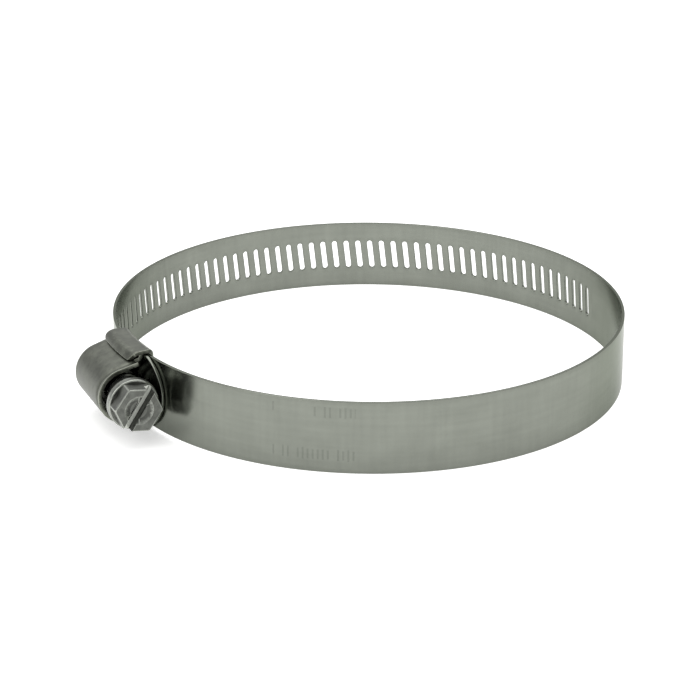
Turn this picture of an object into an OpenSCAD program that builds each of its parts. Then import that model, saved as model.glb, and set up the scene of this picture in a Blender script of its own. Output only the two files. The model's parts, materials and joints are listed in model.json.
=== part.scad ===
// Worm-drive hose clamp: a slotted steel band, a housing held to a saddle, and a hex screw.
// The frame's origin is the centre of the ring at the band's mid-width. Z is the ring's axis.
// The housing stands at -X and the screw runs along Y, with its head towards -Y.
// The band is one strip. It is cut into stretches, each a rigid solid, so that it can bend.

/* [Ring] */
// Inside diameter of the ring
ring_id = 100.4; // [60:0.2:160]
// Width of the band
band_w = 14.3; // [12:0.1:20]
// Thickness of the band
band_t = 0.6; // [0.4:0.05:1]
// Angle of band past the housing's tangent point that stays fixed to the saddle
anchor_end = 22; // [18:1:30]
// Angle that the rounded free end reaches past the tangent point
tail_end = 17; // [14:0.5:20]

/* [Slots] */
// Distance from slot to slot along the band, which is the worm's pitch
slot_pitch = 2.58; // [2.2:0.01:3.2]
// Width of a slot
slot_w = 1.1; // [0.9:0.05:1.4]
// Length of a slot
slot_len = 6.2; // [5:0.1:8]
// Length at the tip of the free end that has no slots
nose_blank = 3.2; // [2.5:0.1:5]
// How much larger than half the band's width the nose's radius is
nose_extra = 0.25; // [0.1:0.05:1]

/* [Housing] */
// Thickness of the housing's sheet
housing_t = 0.8; // [0.5:0.05:1.2]
// Thickness of the saddle's sheet
saddle_t = 0.75; // [0.5:0.05:1.2]
// Length of the barrel behind the tangent point
barrel_back = 5.7; // [5.2:0.1:9]
// Length of the barrel in front of the tangent point
barrel_front = 10.9; // [9.5:0.1:14]
// Length of the saddle behind the tangent point
saddle_back = 4.2; // [3:0.1:5]
// Length of the saddle in front of the tangent point
saddle_front = 8.8; // [7:0.1:9.2]
// How far the barrel's straight sides run past its axis where it stands clear of the saddle
hood_drop = 1; // [0.5:0.1:2]
// Distance from the band's edge to the middle of a saddle lug
lug_inset = 2.7; // [2:0.1:4]

/* [Screw] */
// Diameter over the worm's thread
worm_d = 8; // [7:0.1:9.5]
// Depth of the thread
thread_h = 0.9; // [0.6:0.05:1.1]
// Diameter of the collar behind the head
collar_d = 10; // [9:0.1:12]
// Thickness of the collar
collar_t = 1.7; // [1.2:0.1:3]
// Width of the hex head across its flats
head_af = 8.4; // [7:0.1:10]
// Height of the hex head
head_h = 3.2; // [2.5:0.1:4]
// Width of the screwdriver slot
driver_w = 1.8; // [1.2:0.1:2.2]
// Depth of the screwdriver slot
driver_depth = 1.9; // [1:0.1:2.2]
// Diameter of the round dish in the head's face
dish_d = 5.7; // [4:0.1:6.5]
// Depth of the dish
dish_depth = 0.4; // [0.2:0.05:0.8]
// Length of the neck that the stakes run in
neck_len = 1.1; // [0.8:0.1:1.6]
// Least length of plain shank between the barrel and the collar
shank_len = 2.6; // [1:0.1:4]

/* [Fits] */
// Gap between the free end of the band and what it slides between
slide_gap = 0.12; // [0.08:0.01:0.25]
// Gap between pieces that are held together
seat_gap = 0.03; // [0.01:0.01:0.08]
// Gap between the rims of two stretches of band
link_gap = 0.12; // [0.08:0.01:0.2]
// Gap where the last slotted stretch meets the free end
open_gap = 0.35; // [0.2:0.05:0.4]
// Gap between the band's edges and the saddle's sides
side_gap = 0.1; // [0.05:0.01:0.3]
// Gap between the worm and the inside of the barrel
worm_gap = 0.8; // [0.3:0.05:1.2]
// Gap between the worm's end and the barrel's end wall
end_gap = 0.4; // [0.2:0.05:0.8]
// Gap between the screw's neck and the stakes, and between its collar and the band
running_gap = 0.15; // [0.1:0.01:0.3]

/* [Hidden] */
$fn = 96;
plain_count = 7;
slotted_count = 5;
slots_each = 8;

steel = [0.62, 0.64, 0.61];
zinc = [0.48, 0.50, 0.47];

// ring radii: the plain half is centred on the origin
ring_ri = ring_id / 2;
ring_ro = ring_ri + band_t;
ring_rc = ring_ri + band_t / 2;
// the slotted half leaves the plain half at +X and passes over it at -X, so its circle is
// wider by the shift and its centre lies that far towards -X
shift = (band_t + slide_gap) / 2;
slotted_rc = ring_rc + shift;
slotted_ro = slotted_rc + band_t / 2;
pitch_deg = slot_pitch / slotted_rc * 180 / PI;
// slots are counted from the one at the tangent point, where the worm meets the band
slots_to_plain = floor(180 / pitch_deg);
slotted_start = 180 - (slots_to_plain + 0.5) * pitch_deg;
slotted_each = slots_each * pitch_deg;
tail_start = slotted_start + slotted_count * slotted_each;
plain_start = 180 + anchor_end;
plain_each = (360 + slotted_start - plain_start) / plain_count;

// screw
worm_r = worm_d / 2;
core_r = worm_r - thread_h;
axis_x = -(ring_ro + slide_gap + worm_r);
mesh_r = (worm_r + core_r) / 2;
slot_slant = atan(slot_pitch / (2 * PI * mesh_r));
// the ridge's width at its root and crest, as shares of the pitch
root_share = 0.36;
crest_share = 0.17;
// the ridge's root starts this far inside the core
root_sink = 0.2;
root_half = root_share * slot_pitch / 2;
crest_half = crest_share * slot_pitch / 2;
sunk_half = root_half + root_sink * (root_half - crest_half) / thread_h;
pilot_r = core_r - 0.3;
pilot_hole_r = pilot_r + worm_gap;
pilot_len = end_gap + housing_t / 2;
neck_r = core_r - 0.1;
collar_r = collar_d / 2;
worm_back = -(barrel_back - housing_t - end_gap);
stake_r = 0.45;
stake_at = saddle_front + stake_r + 0.25;
worm_front = stake_at - neck_len / 2;
// the collar starts where the band has curved away far enough to clear it
slotted_top = shift + slotted_ro;
collar_dip = slotted_top + axis_x + collar_r + running_gap;
collar_clear = sqrt(slotted_ro ^ 2 - (slotted_ro - max(collar_dip, 0)) ^ 2);
collar_back = max(barrel_front + shank_len, collar_clear);
collar_front = collar_back + collar_t;
head_front = collar_front + head_h;
head_turn = -6;
driver_turn = 57;
// how far in the head's corners are turned off at its face
corner_cut = 0.35;

// housing, across its width
barrel_ri = worm_r + worm_gap;
barrel_ro = barrel_ri + housing_t;
band_half = band_w / 2;
nose_r = band_half + nose_extra;
flange_half = band_half + side_gap;
flange_ri = slotted_ro + slide_gap;
flange_ro = flange_ri + housing_t;

// saddle, measured from the origin
plate_ro = ring_ri - seat_gap;
plate_ri = plate_ro - saddle_t;
lip_ri = shift + flange_ro + seat_gap;
lip_ro = lip_ri + saddle_t;
wall_half = flange_half + seat_gap;
saddle_half = wall_half + saddle_t;
lip_end = barrel_ro + seat_gap;
lug = [3, 1.6];
lug_at = band_half - lug_inset;

// cutters run this far past what they cut
over = 1;

// a flat shape turned about the axis from one angle to another
module swept(from, to) {
    rotate([0, 0, from])
        rotate_extrude(angle = to - from, $fn = 360)
            children();
}

// a rectangle with round corners, made of squares and circles
module round_rect(low, high, r) {
    translate([low.x + r, low.y]) square([high.x - low.x - 2 * r, high.y - low.y]);
    translate([low.x, low.y + r]) square([high.x - low.x, high.y - low.y - 2 * r]);
    for (x = [low.x + r, high.x - r], y = [low.y + r, high.y - r])
        translate([x, y]) circle(r, $fn = 32);
}

// a plain stretch of band about the origin's axis
module plain_strip(from, to) {
    swept(from, to)
        translate([ring_ri, -band_half]) square([band_t, band_w]);
}

// a stretch of the slotted half, about its own centre
module slotted_strip(from, to) {
    translate([-shift, 0, 0])
        swept(from, to)
            translate([slotted_rc - band_t / 2, -band_half]) square([band_t, band_w]);
}

// one slot with round ends, leaning as the worm's thread does; the index counts from the worm
module slot_cut(index) {
    translate([-shift, 0, 0])
        rotate([0, 0, 180 + index * pitch_deg])
            translate([slotted_rc, 0, 0])
                rotate([-slot_slant, 0, 0]) {
                    flat = slot_len - slot_w;
                    cube([2 * (band_t + over), slot_w, flat], center = true);
                    for (end = [-1, 1])
                        translate([0, 0, end * flat / 2])
                            rotate([0, 90, 0])
                                cylinder(d = slot_w, h = 2 * (band_t + over), center = true, $fn = 32);
                }
}

module band_plain(number) {
    trim = link_gap / 2 / ring_rc * 180 / PI;
    from = plain_start + (number - 1) * plain_each;
    color(steel) plain_strip(from + trim, from + plain_each - trim);
}

module band_slotted(number) {
    trim = link_gap / 2 / slotted_rc * 180 / PI;
    from = slotted_start + (number - 1) * slotted_each;
    first = -slots_to_plain + (number - 1) * slots_each;
    color(steel)
        difference() {
            slotted_strip(from + trim, from + slotted_each - trim);
            for (index = [first : first + slots_each - 1])
                slot_cut(index);
        }
}

// the free end: slotted to the worm and a little past it, then a blank round nose
module band_tail() {
    trim = open_gap / slotted_rc * 180 / PI;
    nose_deg = asin(nose_r / slotted_rc);
    nose_over = over / slotted_rc * 180 / PI;
    first = -slots_to_plain + slotted_count * slots_each;
    last = floor((tail_end - nose_blank / slotted_rc * 180 / PI) / pitch_deg);
    color(steel)
        difference() {
            slotted_strip(tail_start + trim, 180 + tail_end + nose_over);
            for (index = [first : last])
                slot_cut(index);
            translate([-shift, 0, 0])
                rotate([0, 0, 180 + tail_end - nose_deg])
                    nose_cut();
        }
}

// what is cut away outside the round of the nose
module nose_cut() {
    translate([slotted_rc, 0, 0])
        difference() {
            translate([-nose_r, 0, -band_w])
                cube([2 * nose_r, 2 * nose_r, 2 * band_w]);
            rotate([0, 90, 0])
                cylinder(r = nose_r, h = 2 * (nose_r + over), center = true);
        }
}

// the fixed end of the band, with two windows for the saddle's lugs
module band_anchor() {
    trim = link_gap / 2 / ring_rc * 180 / PI;
    back = saddle_back / ring_rc * 180 / PI;
    color(steel)
        difference() {
            plain_strip(180 - back, plain_start - trim);
            saddle_lugs(seat_gap);
        }
}

// the two lugs that stand up out of the saddle's plate, grown by a gap
module saddle_lugs(gap) {
    for (side = [-1, 1])
        translate([-ring_rc, 0, side * lug_at])
            cube([2 * band_t + 2 * gap, lug.x + 2 * gap, lug.y + 2 * gap], center = true);
}

// the plate inside the band, with rims that roll over the housing's feet
module saddle() {
    back = saddle_back / ring_rc * 180 / PI;
    front = saddle_front / ring_rc * 180 / PI;
    color(zinc) {
        swept(180 - back, 180 + front)
            difference() {
                round_rect([plate_ri, -saddle_half], [lip_ro, saddle_half], saddle_t);
                translate([plate_ro, -wall_half])
                    square([lip_ri - plate_ro, 2 * wall_half]);
                translate([lip_ri - over, -lip_end])
                    square([saddle_t + 2 * over, 2 * lip_end]);
            }
        intersection() {
            saddle_lugs(0);
            swept(170, 190)
                translate([plate_ro - saddle_t / 2, -band_half])
                    square([band_t + seat_gap + saddle_t / 2, band_w]);
        }
    }
}

// a bar along the screw's axis, from one distance towards the head to another
module along_screw(from, to) {
    translate([axis_x, -from, 0])
        rotate([90, 0, 0])
            linear_extrude(to - from)
                children();
}

// the barrel's outline on a plane across the screw; the band lies towards +X
module barrel_shape(r, reach) {
    circle(r);
    translate([0, -r]) square([reach, 2 * r]);
}

module housing() {
    foot_reach = -axis_x - slotted_rc;
    color(zinc)
        difference() {
            union() {
                along_screw(-saddle_back, saddle_front) barrel_shape(barrel_ro, foot_reach);
                along_screw(-barrel_back, barrel_front) barrel_shape(barrel_ro, hood_drop);
                intersection() {
                    translate([-shift, 0, -flange_half])
                        cylinder(r = flange_ro, h = 2 * flange_half, $fn = 360);
                    along_screw(-saddle_back, saddle_front)
                        translate([0, -flange_half])
                            square([2 * foot_reach, 2 * flange_half]);
                }
            }
            along_screw(-barrel_back + housing_t, barrel_front + over)
                barrel_shape(barrel_ri, 2 * foot_reach);
            along_screw(-barrel_back - over, barrel_front + over)
                barrel_shape(pilot_hole_r, 2 * foot_reach);
            translate([-shift, 0, -2 * band_w])
                cylinder(r = flange_ri, h = 4 * band_w, $fn = 360);
        }
    color(zinc) screw_stakes();
}

// the barrel's wall pressed in at two places, into the neck of the screw
module screw_stakes() {
    tip = neck_r + running_gap;
    for (side = [-1, 1])
        translate([axis_x, -stake_at, side * tip])
            mirror([0, 0, side < 0 ? 1 : 0])
                cylinder(r = stake_r, h = barrel_ri + housing_t / 2 - tip, $fn = 32);
}

// points of the thread's ridge on one half plane through the axis
function ridge_ring(turn) =
    let (
        at = slot_pitch * turn,
        c = cos(360 * turn),
        s = sin(360 * turn)
    )
    [for (p = [
        [core_r - root_sink, -sunk_half], [worm_r, -crest_half],
        [worm_r, crest_half], [core_r - root_sink, sunk_half]
    ])
        [p.x * c, -(at + p.y), p.x * s]];

// the ridge winds about the screw's axis and faces the band at whole turns
module thread() {
    steps = 24;
    first = ceil((worm_back + 2 * root_half) / slot_pitch * steps);
    last = floor((worm_front - 2 * root_half) / slot_pitch * steps);
    rings = [for (k = [first : last]) ridge_ring(k / steps)];
    count = len(rings);
    points = [for (ring = rings) each ring];
    sides = [for (k = [0 : count - 2], j = [0 : 3])
        [4 * k + j, 4 * k + (j + 1) % 4, 4 * k + 4 + (j + 1) % 4, 4 * k + 4 + j]];
    ends = [[3, 2, 1, 0], [for (j = [0 : 3]) 4 * (count - 1) + j]];
    translate([axis_x, 0, 0])
        polyhedron(points, concat(ends, sides));
}

module screw() {
    color(zinc)
        difference() {
            union() {
                along_screw(worm_back - pilot_len, collar_front) circle(pilot_r);
                along_screw(worm_back, worm_front) circle(core_r);
                thread();
                along_screw(worm_front, stake_at + neck_len / 2) circle(neck_r);
                along_screw(stake_at + neck_len / 2, collar_back) circle(worm_r);
                along_screw(collar_back, collar_front) circle(collar_r);
                hex_head();
            }
            along_screw(head_front - dish_depth, head_front + over) circle(dish_d / 2);
            along_screw(head_front - driver_depth, head_front + over)
                rotate(driver_turn) square([2 * head_af, driver_w], center = true);
        }
}

// the hexagon with its corners turned off to a cone
module hex_head() {
    corner = head_af / 2 / cos(30);
    root = collar_t / 4;
    intersection() {
        along_screw(collar_front - root, head_front)
            rotate(head_turn) circle(corner, $fn = 6);
        translate([axis_x, -collar_front + root, 0])
            rotate([90, 0, 0])
                cylinder(r1 = corner + head_h, r2 = corner - corner_cut, h = head_h + root);
    }
}

band_anchor();
for (number = [1 : plain_count])
    band_plain(number);
for (number = [1 : slotted_count])
    band_slotted(number);
band_tail();
saddle();
housing();
screw();
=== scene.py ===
"""Looks for the worm-drive hose clamp: its band, housing, saddle and screw, in a plain studio."""

import json
import math

import bmesh
import bpy
import numpy as np
from bpy.props import FloatProperty, FloatVectorProperty, PointerProperty
from bpy.types import Operator, Panel, PropertyGroup
from mathutils import Matrix, Vector
from mathutils.geometry import delaunay_2d_cdt

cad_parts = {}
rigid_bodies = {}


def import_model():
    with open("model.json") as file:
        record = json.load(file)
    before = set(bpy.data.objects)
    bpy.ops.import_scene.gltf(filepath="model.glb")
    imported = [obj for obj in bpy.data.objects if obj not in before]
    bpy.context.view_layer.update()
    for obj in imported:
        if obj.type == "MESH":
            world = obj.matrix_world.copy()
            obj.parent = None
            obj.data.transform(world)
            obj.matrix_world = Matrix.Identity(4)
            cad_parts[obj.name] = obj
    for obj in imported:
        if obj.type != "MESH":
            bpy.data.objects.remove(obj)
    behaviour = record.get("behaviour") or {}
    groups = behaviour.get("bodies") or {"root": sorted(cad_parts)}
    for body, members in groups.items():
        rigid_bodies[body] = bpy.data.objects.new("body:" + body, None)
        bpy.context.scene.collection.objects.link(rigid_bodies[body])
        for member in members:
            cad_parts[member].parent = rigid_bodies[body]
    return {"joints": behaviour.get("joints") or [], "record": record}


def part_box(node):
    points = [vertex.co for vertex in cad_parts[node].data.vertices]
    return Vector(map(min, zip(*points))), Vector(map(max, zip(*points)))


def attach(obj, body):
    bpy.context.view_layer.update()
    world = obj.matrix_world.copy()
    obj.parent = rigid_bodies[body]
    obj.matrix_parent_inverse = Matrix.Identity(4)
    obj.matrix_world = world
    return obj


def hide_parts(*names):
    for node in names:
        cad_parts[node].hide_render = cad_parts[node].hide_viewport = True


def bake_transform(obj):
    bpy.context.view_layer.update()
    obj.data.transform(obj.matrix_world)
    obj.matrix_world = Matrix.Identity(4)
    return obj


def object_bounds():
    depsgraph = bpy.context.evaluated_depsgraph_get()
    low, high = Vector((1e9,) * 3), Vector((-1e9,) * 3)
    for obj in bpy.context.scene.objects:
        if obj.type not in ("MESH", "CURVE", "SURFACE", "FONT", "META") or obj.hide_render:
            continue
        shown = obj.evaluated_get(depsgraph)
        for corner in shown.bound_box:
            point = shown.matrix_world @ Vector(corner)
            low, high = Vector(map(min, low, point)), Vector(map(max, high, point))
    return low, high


bl_info = {
    "name": "Hose Clamp",
    "version": (1, 0, 0),
    "blender": (4, 5, 0),
    "location": "View3D > Sidebar > Hose Clamp",
    "description": "Builds the band, housing, saddle and screw of a worm-drive hose clamp",
    "category": "Object",
}

MM = 0.001
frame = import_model()
CAD_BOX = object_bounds()


def joint(name):
    """The joint of that name in the frame."""
    return next(j for j in frame["joints"] if j["name"] == name)


def coupling(name):
    """How far the named joint turns for each turn of the screw."""
    found = frame["record"]["behaviour"]["couplings"]
    return next(c["ratio"] for c in found if c["joint"] == name)


# the two circles that the band follows, from the joints' places
BENDS = sorted(
    (j for j in frame["joints"] if j["name"].startswith("bend_")),
    key=lambda j: int(j["name"].split("_")[1]),
)
PLAIN_BENDS = [j for j in BENDS if j["child"].startswith("plain")]
SLOTTED_BENDS = [j for j in BENDS if j["child"].startswith("slotted")]
PLAIN_RADIUS = math.hypot(*PLAIN_BENDS[0]["pos_m"][:2])
SLOTTED_CENTRE = joint("tail_feed")["pos_m"][0]
SLOTTED_RADIUS = PLAIN_RADIUS - SLOTTED_CENTRE
PITCH = coupling("tail_feed") * 2 * math.pi
SCREW_X = joint("screw_turn")["pos_m"][0]
CELLS_PER_LINK = 8
HALF_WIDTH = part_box("band_tail")[1].z


# ---------------------------------------------------------------- settings


def a_length(name, description, default):
    """A length setting."""
    return FloatProperty(
        name=name, description=description, default=default, unit="LENGTH", precision=5
    )


def an_angle(name, description, degrees):
    """An angle setting."""
    return FloatProperty(
        name=name, description=description, default=math.radians(degrees), subtype="ANGLE"
    )


def a_colour(name, description, default):
    """A colour setting."""
    return FloatVectorProperty(
        name=name, description=description, subtype="COLOR", min=0.0, max=1.0, default=default
    )


class ClampSizes(PropertyGroup):
    """Sizes of the clamp's visible detail"""

    band_thickness: a_length("Band Thickness", "Thickness of the steel strip", 0.6 * MM)
    edge_round: a_length("Edge Round", "How far the strip's sheared edges are rounded", 0.1 * MM)
    slot_length: a_length("Slot Length", "Length of a slot, its round ends included", 6.2 * MM)
    slot_width: a_length("Slot Width", "Width of a slot", 1.1 * MM)
    slot_lean: an_angle("Slot Lean", "How far a slot leans towards the screw's head", 6.6)
    sheet_thickness: a_length("Sheet Thickness", "Thickness of the housing's sheet", 0.8 * MM)
    saddle_thickness: a_length("Saddle Thickness", "Thickness of the saddle's sheet", 0.75 * MM)
    barrel_radius: a_length("Barrel Radius", "Outer radius of the housing's barrel", 5.6 * MM)
    head_flats: a_length("Head Flats", "Width of the hex head across its flats", 8.4 * MM)
    driver_width: a_length("Driver Slot Width", "Width of the screwdriver slot", 1.8 * MM)
    driver_depth: a_length("Driver Slot Depth", "Depth of the screwdriver slot", 1.9 * MM)
    driver_turn: an_angle("Driver Slot Turn", "Angle of the screwdriver slot at rest", 57.0)
    head_turn: an_angle("Head Turn", "Angle of the hexagon's first corner at rest", -6.0)


class ClampColours(PropertyGroup):
    """Colours and finish of the clamp's steels"""

    band: a_colour("Band", "Colour of the rolled stainless strip", (0.195, 0.207, 0.18))
    housing: a_colour("Housing", "Colour of the dull pressed sheet", (0.108, 0.114, 0.095))
    screw: a_colour("Screw", "Colour of the plated screw", (0.122, 0.127, 0.115))
    floor: a_colour("Floor", "Colour of the studio floor", (0.80, 0.80, 0.795))


class ClampStage(PropertyGroup):
    """Camera and light"""

    camera_distance: a_length("Camera Distance", "From the ring's centre to the camera", 0.5304)
    camera_turn: an_angle("Camera Turn", "From -Y towards -X, about the ring's axis", 23.0)
    camera_lift: an_angle("Camera Lift", "Above the ring's plane", 21.384)
    lens: FloatProperty(
        name="Lens",
        description="Focal length on a 36 mm sensor",
        default=135.28,
        subtype="DISTANCE_CAMERA",
    )


# ---------------------------------------------------------------- meshes


def object_from(name, vertices, faces):
    """A new object with that mesh, at the origin."""
    mesh = bpy.data.meshes.new(name)
    mesh.from_pydata([tuple(float(x) for x in v) for v in vertices], [], faces)
    mesh.update()
    made = bpy.data.objects.new(name, mesh)
    bpy.context.scene.collection.objects.link(made)
    return made


def bake_modifiers(made):
    """Applies an object's modifiers to its mesh."""
    bpy.context.view_layer.update()
    graph = bpy.context.evaluated_depsgraph_get()
    mesh = bpy.data.meshes.new_from_object(made.evaluated_get(graph))
    old = made.data
    made.modifiers.clear()
    made.data = mesh
    mesh.name = made.name
    bpy.data.meshes.remove(old)
    return made


WELD = 0.004 * MM
FINE_WELD = 0.001 * MM


def clean(made, merge=WELD, cap=False):
    """Merges doubles, closes open ends with flat faces, and points the faces outwards."""
    work = bmesh.new()
    work.from_mesh(made.data)
    bmesh.ops.remove_doubles(work, verts=work.verts, dist=merge)
    bmesh.ops.dissolve_degenerate(work, dist=merge * 0.2, edges=work.edges)
    if cap:
        rims = [e for e in work.edges if e.is_boundary]
        made_faces = bmesh.ops.holes_fill(work, edges=rims, sides=0)["faces"]
        for face in made_faces:
            for edge in face.edges:
                edge.smooth = False
        bmesh.ops.triangulate(work, faces=made_faces)
    bmesh.ops.recalc_face_normals(work, faces=work.faces)
    for face in work.faces:
        face.smooth = True
    work.to_mesh(made.data)
    work.free()
    return made


FULL_MARK = math.radians(30)
# an edge mark above 1, which paints a pale highlight on the screwdriver slot's floor
SLOT_HIGHLIGHT_MARK = 1.5


def mark_edges(made, sharp_too=False):
    """Stores where the surface turns outwards in "edge" and inwards in "cavity", from 0 to 1."""
    work = bmesh.new()
    work.from_mesh(made.data)
    edge_values = np.zeros(len(work.verts), np.float32)
    cavity_values = np.zeros(len(work.verts), np.float32)
    for e in work.edges:
        if len(e.link_faces) != 2 or not (e.smooth or sharp_too):
            continue
        turn = e.calc_face_angle_signed(0.0)
        store = edge_values if turn > 0 else cavity_values
        amount = min(abs(turn) / FULL_MARK, 1.0)
        for v in e.verts:
            store[v.index] = max(store[v.index], amount)
    work.free()
    for name, values in (("edge", edge_values), ("cavity", cavity_values)):
        layer = made.data.attributes.new(name, "FLOAT", "POINT")
        layer.data.foreach_set("value", values)
    return made


def map_strip(made):
    """A UV map in metres: along the band, and across it."""
    mesh = made.data
    uv = mesh.uv_layers.new(name="strip")
    places = np.zeros(len(mesh.vertices) * 3)
    mesh.vertices.foreach_get("co", places)
    places = places.reshape(-1, 3)
    angle = np.mod(np.arctan2(places[:, 1], places[:, 0]), 2 * math.pi)
    corners = np.zeros(len(mesh.loops), np.int64)
    mesh.loops.foreach_get("vertex_index", corners)
    flat = np.stack([angle[corners] * PLAIN_RADIUS, places[corners, 2]], 1)
    uv.data.foreach_set("uv", flat.astype(np.float32).ravel())
    return made


# ---------------------------------------------------------------- shader groups


def group_tree(name, inputs, outputs):
    """A shader node group with float or vector sockets, given as (name, kind, default)."""
    tree = bpy.data.node_groups.new(name, "ShaderNodeTree")
    for label, kind, default in inputs:
        made = tree.interface.new_socket(label, in_out="INPUT", socket_type=kind)
        if default is not None:
            made.default_value = default
    for label, kind in outputs:
        tree.interface.new_socket(label, in_out="OUTPUT", socket_type=kind)
    return tree, tree.nodes.new("NodeGroupInput"), tree.nodes.new("NodeGroupOutput")


def math_node(tree, operation, *values, clamp=False):
    """A Math node whose inputs are sockets or numbers; gives its output."""
    node = tree.nodes.new("ShaderNodeMath")
    node.operation = operation
    node.use_clamp = clamp
    for socket, value in zip(node.inputs, values):
        if isinstance(value, (int, float)):
            socket.default_value = value
        else:
            tree.links.new(value, socket)
    return node.outputs[0]


def noise_node(tree, vector, scale, detail=4.0, roughness=0.55):
    """A Noise texture's value on a vector, at a scale that is a socket or a number."""
    node = tree.nodes.new("ShaderNodeTexNoise")
    node.inputs["Detail"].default_value = detail
    node.inputs["Roughness"].default_value = roughness
    tree.links.new(vector, node.inputs["Vector"])
    if isinstance(scale, (int, float)):
        node.inputs["Scale"].default_value = scale
    else:
        tree.links.new(scale, node.inputs["Scale"])
    return node.outputs["Fac"]


def range_node(tree, value, low, high, to_low=0.0, to_high=1.0):
    """A clamped Map Range; gives its result."""
    node = tree.nodes.new("ShaderNodeMapRange")
    node.inputs["From Min"].default_value = low
    node.inputs["From Max"].default_value = high
    node.inputs["To Min"].default_value = to_low
    node.inputs["To Max"].default_value = to_high
    tree.links.new(value, node.inputs["Value"])
    return node.outputs["Result"]


def stretch_node(tree, vector, scale):
    """A vector multiplied by a fixed scale on each axis."""
    node = tree.nodes.new("ShaderNodeVectorMath")
    node.operation = "MULTIPLY"
    node.inputs[1].default_value = scale
    tree.links.new(vector, node.inputs[0])
    return node.outputs[0]


def rolled_grain_group():
    """Streaks that run along the strip, as a cold-rolled finish has."""
    tree, given, out = group_tree(
        "Rolled Grain",
        [("Vector", "NodeSocketVector", None)],
        [("Height", "NodeSocketFloat"), ("Tone", "NodeSocketFloat")],
    )
    vector = given.outputs["Vector"]
    fine = noise_node(tree, stretch_node(tree, vector, (90, 9000, 1)), 1.0, 3.0)
    broad = noise_node(tree, stretch_node(tree, vector, (45, 1100, 1)), 1.0, 3.0)
    cloud = noise_node(tree, stretch_node(tree, vector, (120, 160, 1)), 1.0, 4.0)
    across = noise_node(tree, stretch_node(tree, vector, (900, 60, 1)), 1.0, 2.0)
    streaks = math_node(tree, "MULTIPLY_ADD", fine, 0.5, math_node(tree, "MULTIPLY", broad, 0.5))
    tone = math_node(tree, "MULTIPLY_ADD", cloud, 0.5, math_node(tree, "MULTIPLY", broad, 0.25))
    tone = math_node(tree, "MULTIPLY_ADD", across, 0.25, tone)
    tree.links.new(streaks, out.inputs["Height"])
    tree.links.new(tone, out.inputs["Tone"])
    return tree


def edge_wear_and_highlight_group():
    """Where edges are rubbed; the pressed steels also use it for a painted highlight: an edge mark
    broken up by a fine noise.
    """
    tree, given, out = group_tree(
        "Edge Wear",
        [
            ("Vector", "NodeSocketVector", None),
            ("Edge", "NodeSocketFloat", 0.0),
            ("Scale", "NodeSocketFloat", 2500.0),
        ],
        [("Mask", "NodeSocketFloat")],
    )
    rough = noise_node(tree, given.outputs["Vector"], given.outputs["Scale"], 4.0, 0.6)
    marked = math_node(tree, "MULTIPLY_ADD", rough, 0.9, given.outputs["Edge"])
    tree.links.new(range_node(tree, marked, 0.75, 1.35), out.inputs["Mask"])
    return tree


def stamped_bars_group():
    """A row of short stamped bars, like a tally, between two places along the strip."""
    tree, given, out = group_tree(
        "Stamped Bars",
        [
            ("Vector", "NodeSocketVector", None),
            ("Start", "NodeSocketFloat", 0.0),
            ("End", "NodeSocketFloat", 0.01),
            ("Middle", "NodeSocketFloat", 0.0),
            ("Height", "NodeSocketFloat", 0.002),
        ],
        [("Mask", "NodeSocketFloat")],
    )
    split = tree.nodes.new("ShaderNodeSeparateXYZ")
    tree.links.new(given.outputs["Vector"], split.inputs[0])
    along = math_node(tree, "SUBTRACT", split.outputs[0], given.outputs["Start"])
    within = math_node(tree, "GREATER_THAN", along, 0.0)
    before = math_node(tree, "LESS_THAN", split.outputs[0], given.outputs["End"])
    step = math_node(tree, "DIVIDE", along, 0.95 * MM)
    number = tree.nodes.new("ShaderNodeTexWhiteNoise")
    number.noise_dimensions = "1D"
    tree.links.new(math_node(tree, "FLOOR", step), number.inputs["W"])
    chance = number.outputs["Value"]
    across = math_node(tree, "SUBTRACT", split.outputs[1], given.outputs["Middle"])
    tall = math_node(tree, "MULTIPLY_ADD", chance, 0.25, 0.3)
    reach = math_node(tree, "MULTIPLY", given.outputs["Height"], tall)
    near = math_node(tree, "LESS_THAN", math_node(tree, "ABSOLUTE", across), reach)
    bar = math_node(tree, "LESS_THAN", math_node(tree, "FRACT", step), 0.36)
    drawn = math_node(tree, "GREATER_THAN", chance, 0.22)
    mask = math_node(tree, "MULTIPLY", within, before)
    for part in (near, bar, drawn):
        mask = math_node(tree, "MULTIPLY", mask, part)
    tree.links.new(mask, out.inputs["Mask"])
    return tree


def mottle_group():
    """Soft clouds, small stains and grain, as pressed and tumbled sheet has."""
    tree, given, out = group_tree(
        "Mottle",
        [("Vector", "NodeSocketVector", None), ("Scale", "NodeSocketFloat", 400.0)],
        [("Tone", "NodeSocketFloat"), ("Height", "NodeSocketFloat"), ("Stain", "NodeSocketFloat")],
    )
    vector, scale = given.outputs["Vector"], given.outputs["Scale"]
    clouds = noise_node(tree, vector, scale, 5.0, 0.6)
    dents = noise_node(tree, vector, math_node(tree, "MULTIPLY", scale, 0.8), 2.0, 0.5)
    grain = noise_node(tree, vector, math_node(tree, "MULTIPLY", scale, 16.0), 3.0, 0.6)
    stain = noise_node(tree, vector, math_node(tree, "MULTIPLY", scale, 2.3), 4.0, 0.65)
    height = math_node(tree, "MULTIPLY_ADD", grain, 0.14, dents)
    tree.links.new(clouds, out.inputs["Tone"])
    tree.links.new(height, out.inputs["Height"])
    tree.links.new(range_node(tree, stain, 0.56, 0.72), out.inputs["Stain"])
    return tree


# ---------------------------------------------------------------- materials

# rows of stamped bars: from and to along the strip, middle and height across it
STAMPED_ROWS = (
    (199.4 * MM, 201.1 * MM, 5.1 * MM, 2.0 * MM),
    (207.4 * MM, 215.1 * MM, 4.9 * MM, 2.0 * MM),
    (199.4 * MM, 215.1 * MM, -3.6 * MM, 2.1 * MM),
)


def new_material(name):
    """A new node material; gives it, its tree and its Principled shader."""
    made = bpy.data.materials.new(name)
    made.use_nodes = True
    tree = made.node_tree
    shader = next(n for n in tree.nodes if n.type == "BSDF_PRINCIPLED")
    return made, tree, shader


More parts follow.
